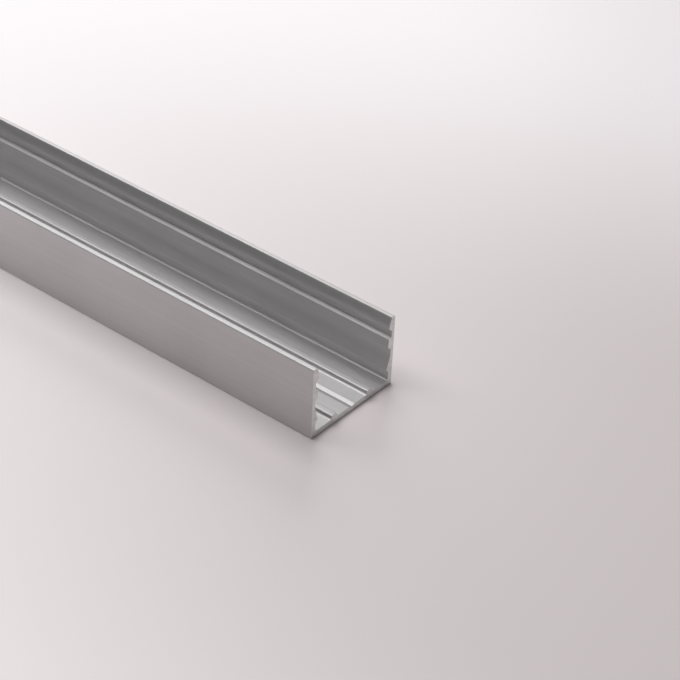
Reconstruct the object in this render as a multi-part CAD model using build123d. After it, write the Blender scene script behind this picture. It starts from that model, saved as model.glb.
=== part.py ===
"""One length of aluminium U-channel extrusion, the body of a linear strip light.

The stock is open at the top and at both sawn ends. Its section is the same all the way along and
is symmetric about the centre line. It is drawn with the width along Y and the height along Z, and
is drawn out along X. The origin is the middle of the underside.

Inside each wall, from the top down, the die forms:
    an upper hook, whose slope lets a cover snap in under it,
    a groove for the cover's leg,
    a lower hook with a sloping ledge on top, for a cover that sits deeper,
    a keeper that holds the edge of a circuit board down, over the board's slot.
The base has two ribs that carry the board and a shallow V along the centre line, to start a drill.
"""

import math
import os

from build123d import *

# Stock
LENGTH = 500.0
WIDTH = 30.0
HEIGHT = 20.0
BASE_THICKNESS = 1.6
WALL_THICKNESS = 1.0
BOTTOM_RADIUS = 0.3

# Rim along the top of each wall
RIM_THICKNESS = 1.2
RIM_OUTER_RADIUS = 0.4
RIM_INNER_RADIUS = 0.15

# Cover hooks on each wall
HOOK_NOSE_RADIUS = 0.2
UPPER_HOOK_REACH = 1.0
UPPER_HOOK_LEAD_IN = 1.4
UPPER_HOOK_LAND = 1.8
UPPER_HOOK_SHOULDER_RADIUS = 5.0
COVER_GROOVE = 1.65
LOWER_HOOK_REACH = 1.05
LEDGE_WIDTH = 0.85
LEDGE_DROP = 0.6
LEDGE_EDGE_RADIUS = 0.25
LOWER_HOOK_LEAD_IN = 2.9

# Board keeper on each wall, and the slot under it
KEEPER_REACH = 1.2
KEEPER_LEAD_IN = 3.5
KEEPER_LAND = 0.3
KEEPER_COVE_RADIUS = 6.0
KEEPER_SHOULDER_RADIUS = 0.8
KEEPER_NOSE_RADIUS = 0.15
SLOT_MOUTH = 3.1
SLOT_WALL_THICKNESS = 1.4
SLOT_CORNER_RADIUS = 0.6

# Undersides of the hooks and of the keeper, in degrees from level
UNDERCUT_ANGLE = 40.0

# Board ribs on the base
RIB_SPACING = 13.2
RIB_WIDTH = 1.9
RIB_HEIGHT = 1.1
RIB_TOP_RADIUS = 0.4
RIB_FOOT_RADIUS = 0.6

# Drill line on the base
DRILL_LINE_WIDTH = 2.1
DRILL_LINE_DEPTH = 0.25

# How far a cut runs past the face that it opens
OVERRUN = 1.0

WALL_FACE = WIDTH / 2 - WALL_THICKNESS
WALL_MIDDLE = WIDTH / 2 - WALL_THICKNESS / 2
RIM_FACE = WIDTH / 2 - RIM_THICKNESS
SLOT_FACE = WIDTH / 2 - SLOT_WALL_THICKNESS
SLOT_TOP = BASE_THICKNESS + SLOT_MOUTH
UNDERCUT_SLOPE = math.tan(math.radians(UNDERCUT_ANGLE))
GROOVE_TOP = HEIGHT - UPPER_HOOK_LEAD_IN - UPPER_HOOK_LAND - UPPER_HOOK_REACH * UNDERCUT_SLOPE


def corners_at(sketch, points):
    """The corners of a sketch that lie nearest to the given points."""
    return [min(sketch.vertices(), key=lambda v: (v.center() - Vector(*p)).length) for p in points]


def standing_rectangle(middle, bottom, width, height):
    """A rectangle given by the middle of its lower edge."""
    return Pos(middle, bottom) * Rectangle(width, height, align=(Align.CENTER, Align.MIN))


def plain_channel():
    """Two walls on a base, a little thicker beside the board slot."""
    block = standing_rectangle(0, 0, WIDTH, HEIGHT)
    between_slots = standing_rectangle(0, BASE_THICKNESS, 2 * SLOT_FACE, SLOT_MOUTH)
    slot_corners = between_slots.vertices().group_by(Axis.Y)[0]
    between_walls = standing_rectangle(0, SLOT_TOP, 2 * WALL_FACE, HEIGHT - SLOT_TOP + OVERRUN)
    return block - fillet(slot_corners, SLOT_CORNER_RADIUS) - between_walls


def upper_hook():
    """The snap hook at the rim of the right wall: a slope that turns upright, a nose and an undercut."""
    shoulder = (WALL_FACE - UPPER_HOOK_REACH, HEIGHT - UPPER_HOOK_LEAD_IN)
    nose = (WALL_FACE - UPPER_HOOK_REACH, HEIGHT - UPPER_HOOK_LEAD_IN - UPPER_HOOK_LAND)
    outline = Polyline(
        (WALL_MIDDLE, HEIGHT),
        (RIM_FACE, HEIGHT),
        shoulder,
        nose,
        (WALL_FACE, GROOVE_TOP),
        (WALL_MIDDLE, GROOVE_TOP),
        close=True,
    )
    hook = fillet(corners_at(make_face(outline), [shoulder]), UPPER_HOOK_SHOULDER_RADIUS)
    return fillet(corners_at(hook, [nose]), HOOK_NOSE_RADIUS)


def lower_hook():
    """The hook under the cover groove of the right wall: a ledge, a steep slope, a nose and an undercut."""
    top = GROOVE_TOP - COVER_GROOVE
    bottom = top - LOWER_HOOK_LEAD_IN - LOWER_HOOK_REACH * UNDERCUT_SLOPE
    ledge_edge = (WALL_FACE - LEDGE_WIDTH, top - LEDGE_DROP)
    nose = (WALL_FACE - LOWER_HOOK_REACH, top - LOWER_HOOK_LEAD_IN)
    outline = Polyline(
        (WALL_MIDDLE, top),
        ledge_edge,
        nose,
        (WALL_FACE, bottom),
        (WALL_MIDDLE, bottom),
        close=True,
    )
    hook = fillet(corners_at(make_face(outline), [ledge_edge]), LEDGE_EDGE_RADIUS)
    return fillet(corners_at(hook, [nose]), HOOK_NOSE_RADIUS)


def board_keeper():
    """The keeper on the right wall: a cove, a slope that turns upright, and a nose over the board slot."""
    face = WALL_FACE - KEEPER_REACH
    shoulder = (face, SLOT_TOP + KEEPER_LAND)
    slope_top = (WALL_FACE, SLOT_TOP + KEEPER_LAND + KEEPER_LEAD_IN)
    cove_top = slope_top[1] + KEEPER_COVE_RADIUS
    bottom = SLOT_TOP - (KEEPER_REACH + WALL_THICKNESS - SLOT_WALL_THICKNESS) * UNDERCUT_SLOPE
    nose = (face, SLOT_TOP)
    outline = Polyline(
        (WALL_MIDDLE, cove_top),
        (WALL_FACE, cove_top),
        slope_top,
        shoulder,
        nose,
        (SLOT_FACE, bottom),
        (WALL_MIDDLE, bottom),
        close=True,
    )
    keeper = fillet(corners_at(make_face(outline), [slope_top]), KEEPER_COVE_RADIUS)
    keeper = fillet(corners_at(keeper, [shoulder]), KEEPER_SHOULDER_RADIUS)
    return fillet(corners_at(keeper, [nose]), KEEPER_NOSE_RADIUS)


def board_rib():
    """A rib on the right of the base, rounded on top and coved into the base at its foot."""
    middle = RIB_SPACING / 2
    rib = standing_rectangle(middle, 0, RIB_WIDTH, BASE_THICKNESS + RIB_HEIGHT)
    foot = standing_rectangle(middle, 0, RIB_WIDTH + 4 * RIB_FOOT_RADIUS, BASE_THICKNESS)
    top_corners = rib.vertices().group_by(Axis.Y)[-1]
    joined = fillet(top_corners, RIB_TOP_RADIUS) + foot
    sides = (middle - RIB_WIDTH / 2, middle + RIB_WIDTH / 2)
    return fillet(corners_at(joined, [(side, BASE_THICKNESS) for side in sides]), RIB_FOOT_RADIUS)


def drill_line():
    """The V along the centre line of the base."""
    half = DRILL_LINE_WIDTH / 2
    bottom = BASE_THICKNESS - DRILL_LINE_DEPTH
    return make_face(
        Polyline((-half, BASE_THICKNESS), (0, bottom), (half, BASE_THICKNESS), close=True)
    )


def section():
    """The whole section, with the edges of its walls rounded."""
    right_side = upper_hook() + lower_hook() + board_keeper() + board_rib()
    outline = plain_channel() + right_side + mirror(right_side, about=Plane.YZ) - drill_line()
    half = WIDTH / 2
    outline = fillet(corners_at(outline, [(-half, 0), (half, 0)]), BOTTOM_RADIUS)
    outline = fillet(corners_at(outline, [(-half, HEIGHT), (half, HEIGHT)]), RIM_OUTER_RADIUS)
    inner_edges = [(-RIM_FACE, HEIGHT), (RIM_FACE, HEIGHT)]
    return fillet(corners_at(outline, inner_edges), RIM_INNER_RADIUS)


channel_profile = extrude(Plane.YZ * section(), LENGTH / 2, both=True)

os.makedirs("parts", exist_ok=True)
export_step(channel_profile, "parts/channel_profile.step")
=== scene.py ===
"""Dresses one length of aluminium U-channel: anodised skin, sawn ends, the stage and the camera.

The channel is a rounded section carried along a straight path, worked out in numpy. The section's
sizes, the finishes, the stage and the camera are properties in the sidebar, and two operators build
from them.
"""

import math

import bpy
import numpy as np
from bpy.props import FloatProperty, FloatVectorProperty, IntProperty, PointerProperty
from mathutils import Matrix, Vector


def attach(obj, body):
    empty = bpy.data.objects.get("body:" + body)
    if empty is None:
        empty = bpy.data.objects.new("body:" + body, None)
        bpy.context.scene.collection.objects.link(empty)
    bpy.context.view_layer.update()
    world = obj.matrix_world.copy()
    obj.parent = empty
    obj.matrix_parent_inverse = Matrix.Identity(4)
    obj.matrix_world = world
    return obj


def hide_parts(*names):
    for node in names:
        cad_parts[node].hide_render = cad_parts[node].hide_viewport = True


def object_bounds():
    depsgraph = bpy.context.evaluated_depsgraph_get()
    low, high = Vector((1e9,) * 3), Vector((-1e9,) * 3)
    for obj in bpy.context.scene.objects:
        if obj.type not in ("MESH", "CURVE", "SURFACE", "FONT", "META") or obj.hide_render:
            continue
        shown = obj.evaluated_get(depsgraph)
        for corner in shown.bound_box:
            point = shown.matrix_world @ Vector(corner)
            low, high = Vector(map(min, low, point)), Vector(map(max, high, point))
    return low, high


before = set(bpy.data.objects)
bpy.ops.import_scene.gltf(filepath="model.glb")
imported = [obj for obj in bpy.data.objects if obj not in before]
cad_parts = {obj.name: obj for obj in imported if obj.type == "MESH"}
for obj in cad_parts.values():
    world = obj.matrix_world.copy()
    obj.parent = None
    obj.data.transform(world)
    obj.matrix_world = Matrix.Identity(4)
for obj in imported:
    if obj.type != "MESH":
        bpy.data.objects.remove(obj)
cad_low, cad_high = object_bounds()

bl_info = {
    "name": "Strip light channel",
    "version": (1, 0, 0),
    "blender": (4, 5, 0),
    "location": "View3D > Sidebar > Stock",
    "description": "Builds a length of anodised U-channel with sawn ends, on a pale stage",
    "category": "Object",
}

MM = 0.001
NODE = "channel_profile"
BODY = "root"
PIECE = "extruded_channel"

# Points of a rounded corner, and spans between the stations along the length
ARC_STEPS = 7
LENGTH_SPANS = 12

# Texture map for the bake: where the skin lies along U, and where the two ends lie along U and V
BAKE_MAP = "OFBake"
SKIN_U = (0.002, 0.9)
END_U = (0.91, 0.998)
END_V = ((0.01, 0.45), (0.51, 0.95))

# Decimals of a metre to which two points of the section count as one
SAME_POINT_DECIMALS = 9

# Part of a noise's range that is spread between two tones or two limits
NOISE_LOW = 0.3
NOISE_HIGH = 0.7

# Detail and roughness of the noises for the lines' height, their tone and the clouds of gloss
FINE_NOISE = {"Detail": 3, "Roughness": 0.6}
SLOW_NOISE = {"Detail": 4, "Roughness": 0.7}
CLOUD_NOISE = {"Detail": 3, "Roughness": 0.55}

# Lines to each slow change of tone
LINES_PER_TONE = 5

# How much the lines are drawn out along the stock, and the saw's marks along their arcs
LINE_STRETCH = 250
MARK_STRETCH = 33

# Clouds of gloss per metre, on the skin and on the sawn ends
SKIN_CLOUDS = 40
SAWN_CLOUDS = 400


def size(name, description, millimetres):
    """A length property whose default is given in millimetres."""
    return FloatProperty(
        name=name, description=description, default=millimetres * MM, unit="LENGTH", precision=5
    )


def frame_size(name, description, axis):
    """A length property whose default is the CAD box's side along an axis."""
    return FloatProperty(
        name=name, description=description, default=cad_high[axis] - cad_low[axis], unit="LENGTH"
    )


def place(name, description, millimetres):
    """A place property whose default is given in millimetres."""
    default = [distance * MM for distance in millimetres]
    return FloatVectorProperty(
        name=name, description=description, default=default, subtype="XYZ", unit="LENGTH"
    )


def angle(name, description, degrees):
    """An angle property whose default is given in degrees."""
    return FloatProperty(
        name=name, description=description, default=math.radians(degrees), subtype="ANGLE"
    )


def amount(name, description, value):
    """A plain number that isn't negative."""
    return FloatProperty(name=name, description=description, default=value, min=0)


def colour(name, description, value):
    """A colour property in linear red, green and blue."""
    return FloatVectorProperty(
        name=name, description=description, default=value, subtype="COLOR", min=0, max=1
    )


class ChannelSection(bpy.types.PropertyGroup):
    """Sizes of the stock and of its section."""

    length: frame_size("Length", "Sawn length of the stock", 0)
    width: frame_size("Width", "Outside width, over both walls", 1)
    height: frame_size("Height", "Outside height, over base and walls", 2)
    base: size("Base", "Thickness of the base", 1.6)
    wall: size("Wall", "Thickness of the walls", 1.0)
    rim: size("Rim", "Thickness of the walls at the top", 1.2)
    slot_wall: size("Slot wall", "Thickness of the walls beside the board slot", 1.4)
    upper_reach: size("Upper reach", "How far the upper hook stands out of the wall", 1.0)
    upper_lead_in: size("Upper lead-in", "Height of the upper hook's slope", 1.4)
    upper_land: size("Upper land", "Height of the upright face over the upper hook's nose", 1.8)
    cover_groove: size("Cover groove", "Height of the groove between the hooks", 1.65)
    ledge: size("Ledge", "Width of the ledge on top of the lower hook", 0.85)
    ledge_drop: size("Ledge drop", "How much lower the ledge's edge is than its root", 0.6)
    lower_reach: size("Lower reach", "How far the lower hook stands out of the wall", 1.05)
    lower_lead_in: size("Lower lead-in", "Height of the lower hook's slope", 2.9)
    keeper_reach: size("Keeper reach", "How far the board keeper stands out of the wall", 1.2)
    keeper_lead_in: size("Keeper lead-in", "Height of the board keeper's slope", 3.5)
    keeper_land: size("Keeper land", "Height of the upright face over the keeper's nose", 0.3)
    slot_mouth: size("Slot mouth", "From the base up to the keeper's nose", 3.1)
    rib_spacing: size("Rib spacing", "Between the middles of the two board ribs", 13.2)
    rib_width: size("Rib width", "Width of a board rib", 1.9)
    rib_height: size("Rib height", "Height of a board rib over the base", 1.1)
    drill_width: size("Drill line width", "Width of the V along the centre line", 2.1)
    drill_depth: size("Drill line depth", "Depth of the V along the centre line", 0.25)
    undercut: angle("Undercut", "Angle of the hooks' undersides from level", 40)


class EdgeRadii(bpy.types.PropertyGroup):
    """Radii of the section's edges."""

    top_outer: size("Top outer", "Outer edge of the walls' tops", 0.4)
    top_inner: size("Top inner", "Inner edge of the walls' tops", 0.15)
    bottom: size("Bottom", "Edges of the underside", 0.3)
    hook_shoulder: size("Hook shoulder", "Where the upper hook's slope turns upright", 5)
    hook_nose: size("Hook nose", "Noses of the cover hooks", 0.2)
    ledge_edge: size("Ledge edge", "Edge of the lower hook's ledge", 0.25)
    keeper_cove: size("Keeper cove", "Where the keeper's slope leaves the wall", 6)
    keeper_shoulder: size("Keeper shoulder", "Where the keeper's slope turns upright", 0.8)
    keeper_nose: size("Keeper nose", "Nose of the board keeper", 0.15)
    inside: size("Inside corners", "Corners behind the hooks and the keeper", 0.1)
    slot_corner: size("Slot corner", "Corner of the wall and the base", 0.6)
    rib_top: size("Rib top", "Edges of the ribs' tops", 0.4)
    rib_foot: size("Rib foot", "Corners at the ribs' feet", 0.6)
    drill_edge: size("Drill line edge", "Edges and bottom of the V", 0.12)
    deburr: size("Deburring", "Rounding along the sawn edges", 0.06)


class DieLines(bpy.types.PropertyGroup):
    """The shallow lines that the die leaves along the stock."""

    depth: size("Depth", "Depth of the lines", 0.0004)
    shortest: size("Shortest", "Least distance from line to line", 0.45)
    longest: size("Longest", "Greatest distance from line to line", 5)
    sampling: size("Sampling", "Distance between the points of the section", 0.14)
    waves: IntProperty(
        name="Waves", description="How many waves add up to the lines", default=40, min=1
    )
    seed: IntProperty(name="Seed", description="Picks the lines' places", default=7, min=0)


class ChannelFinish(bpy.types.PropertyGroup):
    """Colours and gloss of the anodised skin and of the sawn ends."""

    skin_dark: colour("Skin, dark", "Anodised metal in the die's deeper lines", (0.62, 0.607, 0.611))
    skin_light: colour("Skin, light", "Anodised metal on the die's higher lines", (0.66, 0.647, 0.651))
    skin_smooth: amount("Skin, smooth", "Roughness of the skin where it is smoothest", 0.54)
    skin_rough: amount("Skin, rough", "Roughness of the skin where it is roughest", 0.62)
    sawn_dark: colour("Sawn, dark", "Bare metal in the saw's deeper marks", (0.69, 0.685, 0.69))
    sawn_light: colour("Sawn, light", "Bare metal on the saw's higher marks", (0.87, 0.865, 0.87))
    sawn_smooth: amount("Sawn, smooth", "Roughness of the sawn ends where they are smoothest", 0.38)
    sawn_rough: amount("Sawn, rough", "Roughness of the sawn ends where they are roughest", 0.5)
    line_depth: size("Line depth", "Depth of the finest lines along the skin", 0.001)
    mark_depth: size("Mark depth", "Depth of the saw's marks", 0.008)
    line_spacing: size("Line spacing", "Distance between the finest lines", 0.35)
    mark_spacing: size("Mark spacing", "Distance between the saw's marks", 0.22)
    saw_aside: size("Saw aside", "From the stock's middle to the saw's centre, along Y", 55)
    saw_below: size("Saw below", "From the stock's underside down to the saw's centre", 105)


class StageSettings(bpy.types.PropertyGroup):
    """The floor, with its painted shade and painted glow, and the light."""

    floor_side: size("Floor side", "Side of the square floor", 40000)
    # The table's colours and glow are painted light. A dull oval by the stock's near end is painted
    # shade where the stock's shadow falls. Away from it the table turns paler and glows a little, which
    # is a painted reflection of bright light in the lacquer.
    floor_in_painted_shade: colour("Floor, near", "The table where it is dullest", (0.95, 0.868, 0.874))
    floor_in_painted_light: colour("Floor, far", "The table where it is palest", (0.98, 0.935, 0.95))
    painted_shade_middle: place("Floor, dullest", "Middle of the table's dull oval", (341, 16, 0))
    painted_shade_oval: amount("Floor oval", "The dull oval's width across the stock, to its length", 0.61)
    painted_light_from: size("Floor from", "Half the oval's width where the table starts to get paler", 49)
    painted_light_to: size("Floor to", "Half the oval's width where the table is palest", 201)
    painted_glow: amount("Floor glow", "Light of the table's pale part that eyes and mirrors see", 0.19)
    floor_roughness: amount("Floor roughness", "Roughness of the table's lacquer", 0.32)
    room: colour("Room", "Light that comes from all round", (0.06, 0.06, 0.06))
    overhead_light: amount("Overhead light", "How bright the overhead softbox is; 1 is white", 2.63)
    overhead_side: size("Overhead side", "Side of the square overhead softbox", 1200)
    overhead_place: place("Overhead place", "Middle of the overhead softbox", (-270, 0, 1200))
    left_light: amount("Left light", "How bright the softbox on the left is; 1 is white", 1.0)
    left_side: size("Left side", "Side of the square softbox on the left", 500)
    left_place: place("Left place", "Middle of the softbox on the left", (-850, -250, 1000))
    back_light: amount("Back light", "How bright the softbox at the back left is; 1 is white", 1.65)
    back_side: size("Back side", "Side of the square softbox at the back left", 800)
    back_place: place("Back place", "Middle of the softbox at the back left", (-700, 850, 600))


class PhotoCamera(bpy.types.PropertyGroup):
    """Where the camera stands, told from the foot of the near end, the middle of its lower edge."""

    azimuth: angle("Azimuth", "Turn to the right, from looking square at the front wall", 37.76)
    elevation: angle("Elevation", "How steeply the camera looks down", 35.89)
    roll: angle("Roll", "Turn about the line of sight", 3.02)
    distance: size("Distance", "From the near end's foot, along the line of sight", 571.06)
    aside: size("Aside", "How far the near end's foot lies right of the picture's middle", 2.76)
    below: size("Below", "How far the near end's foot lies below the picture's middle", 16.81)
    lens: FloatProperty(
        name="Lens", description="Focal length", default=127.17, unit="CAMERA"
    )
    sensor: FloatProperty(
        name="Sensor", description="Width of the sensor", default=36, unit="CAMERA"
    )


def unit(vectors):
    """The vectors, each divided by its own length."""
    return vectors / np.linalg.norm(vectors, axis=-1, keepdims=True)


def right_half(s, r):
    """Corners and edge radii of the section's right half, from the underside up and round to the V."""
    outer = s.width / 2
    wall = outer - s.wall
    slot = outer - s.slot_wall
    drop = math.tan(s.undercut)
    upper_shoulder = s.height - s.upper_lead_in
    upper_nose = upper_shoulder - s.upper_land
    groove_top = upper_nose - s.upper_reach * drop
    ledge = groove_top - s.cover_groove
    lower_nose = ledge - s.lower_lead_in
    keeper_nose = s.base + s.slot_mouth
    keeper_shoulder = keeper_nose + s.keeper_land
    rib_in = (s.rib_spacing - s.rib_width) / 2
    rib_out = (s.rib_spacing + s.rib_width) / 2
    rib_top = s.base + s.rib_height
    corners = (
        (outer, 0, r.bottom),
        (outer, s.height, r.top_outer),
        (outer - s.rim, s.height, r.top_inner),
        (wall - s.upper_reach, upper_shoulder, r.hook_shoulder),
        (wall - s.upper_reach, upper_nose, r.hook_nose),
        (wall, groove_top, r.inside),
        (wall, ledge, r.inside),
        (wall - s.ledge, ledge - s.ledge_drop, r.ledge_edge),
        (wall - s.lower_reach, lower_nose, r.hook_nose),
        (wall, lower_nose - s.lower_reach * drop, r.inside),
        (wall, keeper_shoulder + s.keeper_lead_in, r.keeper_cove),
        (wall - s.keeper_reach, keeper_shoulder, r.keeper_shoulder),
        (wall - s.keeper_reach, keeper_nose, r.keeper_nose),
        (slot, keeper_nose - (s.keeper_reach + s.wall - s.slot_wall) * drop, r.inside),
        (slot, s.base, r.slot_corner),
        (rib_out, s.base, r.rib_foot),
        (rib_out, rib_top, r.rib_top),
        (rib_in, rib_top, r.rib_top),
        (rib_in, s.base, r.rib_foot),
        (s.drill_width / 2, s.base, r.drill_edge),
    )
    return np.array(corners)


def rounded_loop(corners, radii, steps):
    """Points and outward normals of a closed outline whose corners are rounded.

    At each corner an arc touches both sides: it starts a tangent length, the radius times the tangent
    of half the turn, before the corner. Its normal turns evenly from one side's to the other's, and a
    point is the arc's centre plus, or at a hollow corner minus, the radius times that normal.
    """
    sides = corners - np.roll(corners, 1, axis=0)
    along_in = unit(sides)
    along_out = np.roll(along_in, -1, axis=0)
    turn = np.arctan2(
        along_in[:, 0] * along_out[:, 1] - along_in[:, 1] * along_out[:, 0],
        (along_in * along_out).sum(axis=1),
    )
    tangent = radii * np.tan(np.abs(turn) / 2)
    if (tangent + np.roll(tangent, 1) > np.linalg.norm(sides, axis=1)).any():
        raise ValueError("An edge radius is too large for the side beside it")
    normal_in = np.stack([along_in[:, 1], -along_in[:, 0]], axis=1)
    outward = np.sign(turn)[:, None] * radii[:, None]
    centre = corners - along_in * tangent[:, None] - outward * normal_in
    heading_in = np.arctan2(normal_in[:, 1], normal_in[:, 0])
    heading = heading_in[:, None] + turn[:, None] * np.linspace(0, 1, steps)
    normals = np.stack([np.cos(heading), np.sin(heading)], axis=2)
    points = centre[:, None] + outward[:, None] * normals
    return points.reshape(-1, 2), normals.reshape(-1, 2)


def section_loop(s, r):
    """The whole section: the right half, the V's bottom, and the right half mirrored and reversed."""
    right = right_half(s, r)
    left = right[::-1] * (-1, 1, 1)
    v_bottom = [[0, s.base - s.drill_depth, r.drill_edge]]
    corners = np.concatenate([right, v_bottom, left])
    return rounded_loop(corners[:, :2], corners[:, 2], ARC_STEPS)


def drawn_loop(points, normals, d):
    """The section as the die leaves it: points, normals, and each point's share of the way round.

    The distance round the loop is the running sum of its steps. The loop is read off again at every
    point that it has and at an even pitch between. The relief is a sum of sines with whole numbers of
    waves round the loop, so that it closes, each with a random phase. A point moves out along its
    normal by the relief, and its normal leans back by the relief's slope along the loop.
    """
    closed = np.concatenate([points, points[:1]])
    distance = np.concatenate([[0], np.linalg.norm(np.diff(closed, axis=0), axis=1).cumsum()])
    around = distance[-1]
    even = np.arange(0, around, d.sampling)
    stop = np.unique(np.concatenate([distance[:-1], even]).round(SAME_POINT_DECIMALS))
    columns = np.concatenate([closed, np.concatenate([normals, normals[:1]])], axis=1).T
    y, z, ny, nz = (np.interp(stop, distance, column) for column in columns)
    out = unit(np.stack([ny, nz], axis=1))
    along = np.stack([-out[:, 1], out[:, 0]], axis=1)
    random = np.random.default_rng(d.seed)
    waves = np.rint(random.uniform(around / d.longest, around / d.shortest, d.waves))
    phase = 2 * np.pi * (np.outer(stop / around, waves) + random.random(d.waves))
    each = d.depth / math.sqrt(d.waves)
    relief = each * np.sin(phase).sum(axis=1, keepdims=True)
    slope = each * (np.cos(phase) @ (2 * np.pi * waves / around))[:, None]
    return np.stack([y, z], axis=1) + relief * out, unit(out - slope * along), stop / around


def swept_channel(points, normals, length, deburr):
    """The section carried along X: vertices, normals, quads and the two end outlines.

    The stations are even along the length. One more lies at each end, where the section is drawn in
    along its normals by the deburring width and its normals point out of the end, which rounds the
    sawn edges.
    """
    inside = np.linspace(-length / 2 + deburr, length / 2 - deburr, LENGTH_SPANS + 1)
    stations = np.concatenate([[-length / 2], inside, [length / 2]])
    inset = np.zeros(len(stations))
    inset[[0, -1]] = deburr
    shape = (len(stations), len(points), 3)
    vertices = np.empty(shape)
    vertices[..., 0] = stations[:, None]
    vertices[..., 1:] = points - inset[:, None, None] * normals
    directions = np.zeros(shape)
    directions[..., 1:] = normals
    directions[0] = (-1, 0, 0)
    directions[-1] = (1, 0, 0)
    index = np.arange(len(stations) * len(points)).reshape(len(stations), -1)
    here = index[:-1]
    there = index[1:]
    quads = np.stack([here, np.roll(here, -1, 1), np.roll(there, -1, 1), there], axis=2)
    ends = (index[0, ::-1], index[-1])
    return vertices, directions, quads, ends


def bake_layout(vertices, share, ends):
    """The texture map's places: one for each corner of the quads, then of the two ends.

    On the skin, U is the share of the length and V the share of the way round, which is 1 where the
    loop closes. An end is laid flat: U is its height and V its width, each as a share of its extent.
    """
    length_share = np.interp(vertices[:, 0, 0], vertices[[0, -1], 0, 0], SKIN_U)
    closing = np.append(share[1:], 1)
    skin = np.empty((len(vertices) - 1, len(share), 4, 2))
    skin[..., :2, 0] = length_share[:-1, None, None]
    skin[..., 2:, 0] = length_share[1:, None, None]
    skin[..., [0, 3], 1] = share[:, None]
    skin[..., [1, 2], 1] = closing[:, None]
    flat = vertices.reshape(-1, 3)[:, 1:]
    low, high = flat.min(axis=0), flat.max(axis=0)
    caps = []
    for end, end_v in zip(ends, END_V):
        u = np.interp(flat[end, 1], (low[1], high[1]), END_U)
        v = np.interp(flat[end, 0], (low[0], high[0]), end_v)
        caps.append(np.stack([u, v], axis=1))
    return np.concatenate([skin.reshape(-1, 2), *caps])


def new_piece(name, mesh):
    """An object for a mesh that is already in place."""
    piece = bpy.data.objects.new(name, mesh)
    bpy.context.scene.collection.objects.link(piece)
    return piece


def add_node(tree, kind, inputs=None, **settings):
    """A new node with its settings, and its inputs given as values or as sockets to link from."""
    node = tree.nodes.new(kind)
    for name, value in settings.items():
        setattr(node, name, value)
    for name, value in (inputs or {}).items():
        if isinstance(value, bpy.types.NodeSocket):
            tree.links.new(value, node.inputs[name])
        else:
            node.inputs[name].default_value = value
    return node


def calculate(tree, operation, first, second):
    """A Math node's result; the two numbers are values or sockets."""
    return add_node(tree, "ShaderNodeMath", {0: first, 1: second}, operation=operation).outputs[0]


def fill(tree, node, inputs):
    """Links sockets into inputs of a node that is already there."""
    for name, socket in inputs.items():
        tree.links.new(socket, node.inputs[name])


def new_group(name, inputs, outputs):
    """A shader node group with its sockets alone: the group, its given sockets and its output node."""
    group = bpy.data.node_groups.new(name, "ShaderNodeTree")
    for label, kind in inputs.items():
        group.interface.new_socket(label, in_out="INPUT", socket_type=kind)
    for label, kind in outputs.items():
        group.interface.new_socket(label, in_out="OUTPUT", socket_type=kind)
    return group, group.nodes.new("NodeGroupInput").outputs, group.nodes.new("NodeGroupOutput")


def tool_lines_group():
    """Lines that a tool leaves: a fine height, and a tone that changes over several lines."""
    group, given, result = new_group(
        "Tool lines",
        {"Vector": "NodeSocketVector", "Spacing": "NodeSocketFloat"},
        {"Height": "NodeSocketFloat", "Tone": "NodeSocketFloat"},
    )
    fine_scale = calculate(group, "DIVIDE", 1, given["Spacing"])
    slow_scale = calculate(group, "DIVIDE", fine_scale, LINES_PER_TONE)
    vector = given["Vector"]
    fine = add_node(group, "ShaderNodeTexNoise", {"Vector": vector, "Scale": fine_scale, **FINE_NOISE})
    slow = add_node(group, "ShaderNodeTexNoise", {"Vector": vector, "Scale": slow_scale, **SLOW_NOISE})
    fill(group, result, {"Height": fine.outputs[0], "Tone": slow.outputs[0]})
    return group


def cloudy_group():
    """A value that drifts between two limits in soft clouds."""
    limits = ("Scale", "Low", "High")
    group, given, result = new_group(
        "Cloudy value",
        {"Vector": "NodeSocketVector", **dict.fromkeys(limits, "NodeSocketFloat")},
        {"Value": "NodeSocketFloat"},
    )
    cloud = add_node(
        group, "ShaderNodeTexNoise",
        {"Vector": given["Vector"], "Scale": given["Scale"], **CLOUD_NOISE},
    )
    value = add_node(
        group, "ShaderNodeMapRange",
        {
            "Value": cloud.outputs[0], "From Min": NOISE_LOW, "From Max": NOISE_HIGH,
            "To Min": given["Low"], "To Max": given["High"],
        },
    )
    fill(group, result, {"Value": value.outputs[0]})
    return group


def tone_ramp(tree, factor, dark, light, low=0, high=1):
    """A colour that goes from one tone to another while the factor goes from low to high."""
    ramp = add_node(tree, "ShaderNodeValToRGB", {"Fac": factor})
    first, last = ramp.color_ramp.elements
    first.position, last.position = low, high
    first.color = (*dark, 1)
    last.color = (*light, 1)
    return ramp.outputs["Color"]


def new_material(name):
    """A plain material: itself, its node tree, its Principled BSDF and its Object coordinates."""
    material = bpy.data.materials.new(name)
    material.use_nodes = True
    tree = material.node_tree
    coordinates = tree.nodes.new("ShaderNodeTexCoord").outputs["Object"]
    return material, tree, tree.nodes["Principled BSDF"], coordinates


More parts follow.
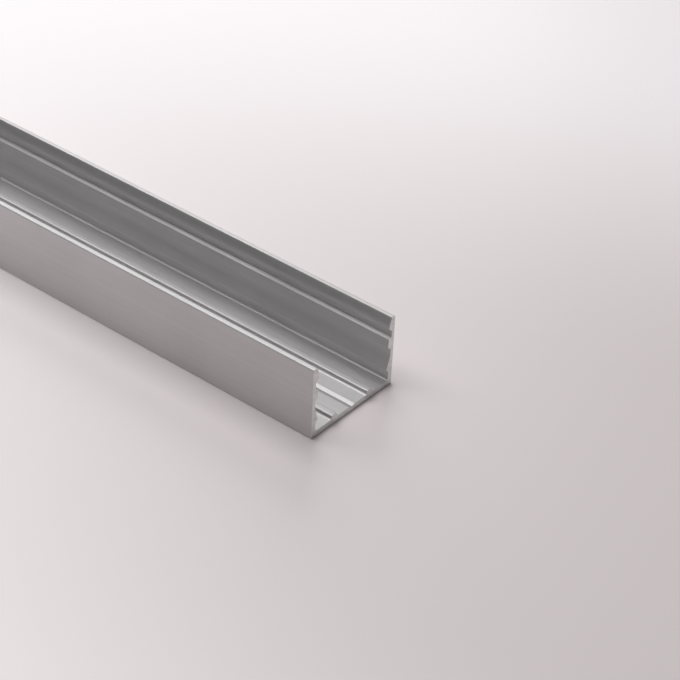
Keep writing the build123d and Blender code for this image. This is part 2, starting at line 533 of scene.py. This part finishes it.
def anodised_skin(f, lines, cloudy):
    """Satin anodised aluminium, with fine lines along the stock and slow changes of gloss."""
    material, tree, shader, coordinates = new_material("anodised skin")
    drawn_out = add_node(
        tree, "ShaderNodeMapping", {"Vector": coordinates, "Scale": (1 / LINE_STRETCH, 1, 1)}
    )
    tool = add_node(
        tree, "ShaderNodeGroup",
        {"Vector": drawn_out.outputs[0], "Spacing": f.line_spacing},
        node_tree=lines,
    )
    gloss = add_node(
        tree, "ShaderNodeGroup",
        {"Vector": coordinates, "Scale": SKIN_CLOUDS, "Low": f.skin_smooth, "High": f.skin_rough},
        node_tree=cloudy,
    )
    bump = add_node(
        tree, "ShaderNodeBump", {"Height": tool.outputs["Height"], "Distance": f.line_depth}
    )
    tone = tone_ramp(tree, tool.outputs["Tone"], f.skin_dark, f.skin_light, NOISE_LOW, NOISE_HIGH)
    fill(tree, shader, {"Base Color": tone, "Roughness": gloss.outputs[0], "Normal": bump.outputs[0]})
    shader.inputs["Metallic"].default_value = 1
    return material


def sawn_metal(f, lines, cloudy):
    """Bare aluminium with the arcs of a saw, told by their distance from the saw's centre."""
    material, tree, shader, coordinates = new_material("sawn aluminium")
    from_saw = add_node(
        tree, "ShaderNodeMapping",
        {"Vector": coordinates, "Location": (0, f.saw_aside, f.saw_below), "Scale": (0, 1, 1)},
    )
    radius = add_node(tree, "ShaderNodeVectorMath", {0: from_saw.outputs[0]}, operation="LENGTH")
    split = add_node(tree, "ShaderNodeSeparateXYZ", {0: coordinates})
    along = calculate(tree, "DIVIDE", split.outputs["Y"], MARK_STRETCH)
    arcs = add_node(tree, "ShaderNodeCombineXYZ", {"X": radius.outputs["Value"], "Y": along})
    tool = add_node(
        tree, "ShaderNodeGroup",
        {"Vector": arcs.outputs[0], "Spacing": f.mark_spacing},
        node_tree=lines,
    )
    gloss = add_node(
        tree, "ShaderNodeGroup",
        {"Vector": coordinates, "Scale": SAWN_CLOUDS, "Low": f.sawn_smooth, "High": f.sawn_rough},
        node_tree=cloudy,
    )
    bump = add_node(
        tree, "ShaderNodeBump", {"Height": tool.outputs["Height"], "Distance": f.mark_depth}
    )
    tone = tone_ramp(tree, tool.outputs["Tone"], f.sawn_dark, f.sawn_light, NOISE_LOW, NOISE_HIGH)
    fill(tree, shader, {"Base Color": tone, "Roughness": gloss.outputs[0], "Normal": bump.outputs[0]})
    shader.inputs["Metallic"].default_value = 1
    return material


class STOCK_OT_extrude_channel(bpy.types.Operator):
    """Carries the section along the length, closes both sawn ends and gives the channel its finishes"""

    bl_idname = "stock.extrude_channel"
    bl_label = "Extrude channel"

    def execute(self, context):
        s = context.scene.channel_section
        r = context.scene.channel_edges
        points, normals, share = drawn_loop(*section_loop(s, r), context.scene.channel_die_lines)
        vertices, directions, quads, ends = swept_channel(points, normals, s.length, r.deburr)
        mesh = bpy.data.meshes.new(PIECE)
        faces = quads.reshape(-1, 4).tolist() + [end.tolist() for end in ends]
        mesh.from_pydata(vertices.reshape(-1, 3).tolist(), [], faces)
        mesh.shade_smooth()
        mesh.normals_split_custom_set_from_vertices(directions.reshape(-1, 3).tolist())
        layout = bake_layout(vertices, share, ends)
        mesh.uv_layers.new(name=BAKE_MAP).uv.foreach_set("vector", layout.ravel())
        lines = tool_lines_group()
        cloudy = cloudy_group()
        f = context.scene.channel_finish
        mesh.materials.append(anodised_skin(f, lines, cloudy))
        mesh.materials.append(sawn_metal(f, lines, cloudy))
        sawn = np.zeros(quads.shape[:2], dtype=np.int32)
        sawn[[0, -1]] = 1
        mesh.polygons.foreach_set("material_index", np.append(sawn, np.ones(len(ends), dtype=np.int32)))
        piece = new_piece(PIECE, mesh)
        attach(piece, BODY)
        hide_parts(NODE)
        return {"FINISHED"}


class STOCK_OT_set_stage(bpy.types.Operator):
    """Lays the pale floor, lights it and sets the camera where the photograph was taken from"""

    bl_idname = "stock.set_stage"
    bl_label = "Set stage"

    def execute(self, context):
        scene = context.scene
        stage = scene.channel_stage
        self.lay_floor(stage)
        self.hang_softbox("overhead", stage.overhead_light, stage.overhead_side, stage.overhead_place)
        self.hang_softbox("left", stage.left_light, stage.left_side, stage.left_place)
        self.hang_softbox("back left", stage.back_light, stage.back_side, stage.back_place)
        world = bpy.data.worlds.new("room")
        world.use_nodes = True
        world.node_tree.nodes["Background"].inputs["Color"].default_value = (*stage.room, 1)
        scene.world = world
        scene.camera = self.stand_camera(scene.channel_section, scene.channel_camera)
        scene.view_settings.view_transform = "Standard"
        return {"FINISHED"}

    def lay_floor(self, stage):
        """A square at the level of the stock's underside."""
        half = stage.floor_side / 2
        mesh = bpy.data.meshes.new("floor")
        corners = [(-half, -half, 0), (half, -half, 0), (half, half, 0), (-half, half, 0)]
        mesh.from_pydata(corners, [], [(0, 1, 2, 3)])
        mesh.materials.append(self.table_with_painted_light(stage))
        new_piece("floor", mesh)

    def table_with_painted_light(self, stage):
        """A lacquered table with painted shade in a dull oval by the stock's near end, and painted
        light away from it: a paler tone that glows a little, a painted reflection of bright light.

        Only eyes, reflections and glass see the painted glow, so it throws no light on dull surfaces.
        """
        material, tree, shader, coordinates = new_material("table with painted shade and light")
        from_middle = add_node(
            tree, "ShaderNodeVectorMath", {0: coordinates, 1: stage.painted_shade_middle}, operation="SUBTRACT"
        )
        # The painted shade's oval lies by the stock's near end and is drawn out along the stock
        oval = add_node(
            tree, "ShaderNodeVectorMath", {0: from_middle.outputs[0], 1: (stage.painted_shade_oval, 1, 1)},
            operation="MULTIPLY",
        )
        away = add_node(tree, "ShaderNodeVectorMath", {0: oval.outputs[0]}, operation="LENGTH")
        # Share of painted light: 0 in the painted shade, 1 where the table is palest
        paler = add_node(
            tree, "ShaderNodeMapRange",
            {"Value": away.outputs["Value"], "From Min": stage.painted_light_from, "From Max": stage.painted_light_to},
            interpolation_type="SMOOTHSTEP",
        )
        # Painted glow that only eyes, reflections and glass see
        ray = add_node(tree, "ShaderNodeLightPath").outputs
        reflected = calculate(tree, "MAXIMUM", ray["Is Camera Ray"], ray["Is Glossy Ray"])
        seen = calculate(tree, "MAXIMUM", reflected, ray["Is Transmission Ray"])
        most = calculate(tree, "MULTIPLY", seen, stage.painted_glow)
        glow = calculate(tree, "MULTIPLY", paler.outputs[0], most)
        # Tone that runs from the painted shade near the stock to the painted light away from it
        tone = tone_ramp(tree, paler.outputs[0], stage.floor_in_painted_shade, stage.floor_in_painted_light)
        fill(tree, shader, {"Base Color": tone, "Emission Color": tone, "Emission Strength": glow})
        shader.inputs["Roughness"].default_value = stage.floor_roughness
        return material

    def hang_softbox(self, name, brightness, side, middle):
        """A square area light that looks at the origin.

        Its power is its brightness times pi times its area.
        """
        light = bpy.data.lights.new(name, "AREA")
        light.shape = "SQUARE"
        light.size = side
        light.energy = brightness * math.pi * side**2
        box = bpy.data.objects.new(name, light)
        box.location = middle
        box.rotation_euler = box.location.to_track_quat("Z", "Y").to_euler()
        bpy.context.scene.collection.objects.link(box)

    def stand_camera(self, s, c):
        """The camera's axes are its right, its up and its back, turned about the back by the roll."""
        back = Vector((
            math.sin(c.azimuth) * math.cos(c.elevation),
            -math.cos(c.azimuth) * math.cos(c.elevation),
            math.sin(c.elevation),
        ))
        level = Vector((math.cos(c.azimuth), math.sin(c.azimuth), 0))
        turn = Matrix.Rotation(c.roll, 3, back)
        right = turn @ level
        up = turn @ back.cross(level)
        data = bpy.data.cameras.new("camera")
        data.lens = c.lens
        data.sensor_width = c.sensor
        camera = bpy.data.objects.new("camera", data)
        foot = Vector((s.length / 2, 0, 0))
        camera.matrix_world = Matrix((right, up, back)).transposed().to_4x4()
        camera.location = foot - c.aside * right + c.below * up + c.distance * back
        bpy.context.scene.collection.objects.link(camera)
        return camera


SETTINGS = {
    "channel_section": ChannelSection,
    "channel_edges": EdgeRadii,
    "channel_die_lines": DieLines,
    "channel_finish": ChannelFinish,
    "channel_stage": StageSettings,
    "channel_camera": PhotoCamera,
}


class STOCK_PT_channel(bpy.types.Panel):
    """The channel's sizes, finishes and stage, and the operators that build from them."""

    bl_label = "Strip light channel"
    bl_space_type = "VIEW_3D"
    bl_region_type = "UI"
    bl_category = "Stock"

    def draw(self, context):
        for name, settings in SETTINGS.items():
            box = self.layout.box()
            box.label(text=settings.__doc__)
            for field in settings.__annotations__:
                box.prop(getattr(context.scene, name), field)
        self.layout.operator(STOCK_OT_extrude_channel.bl_idname)
        self.layout.operator(STOCK_OT_set_stage.bl_idname)


CLASSES = (*SETTINGS.values(), STOCK_OT_extrude_channel, STOCK_OT_set_stage, STOCK_PT_channel)


def register():
    for cls in CLASSES:
        bpy.utils.register_class(cls)
    for name, settings in SETTINGS.items():
        setattr(bpy.types.Scene, name, PointerProperty(type=settings))


def unregister():
    for name in SETTINGS:
        delattr(bpy.types.Scene, name)
    for cls in reversed(CLASSES):
        bpy.utils.unregister_class(cls)


def main():
    register()
    bpy.ops.stock.extrude_channel()
    bpy.ops.stock.set_stage()


if __name__ == "__main__":
    main()
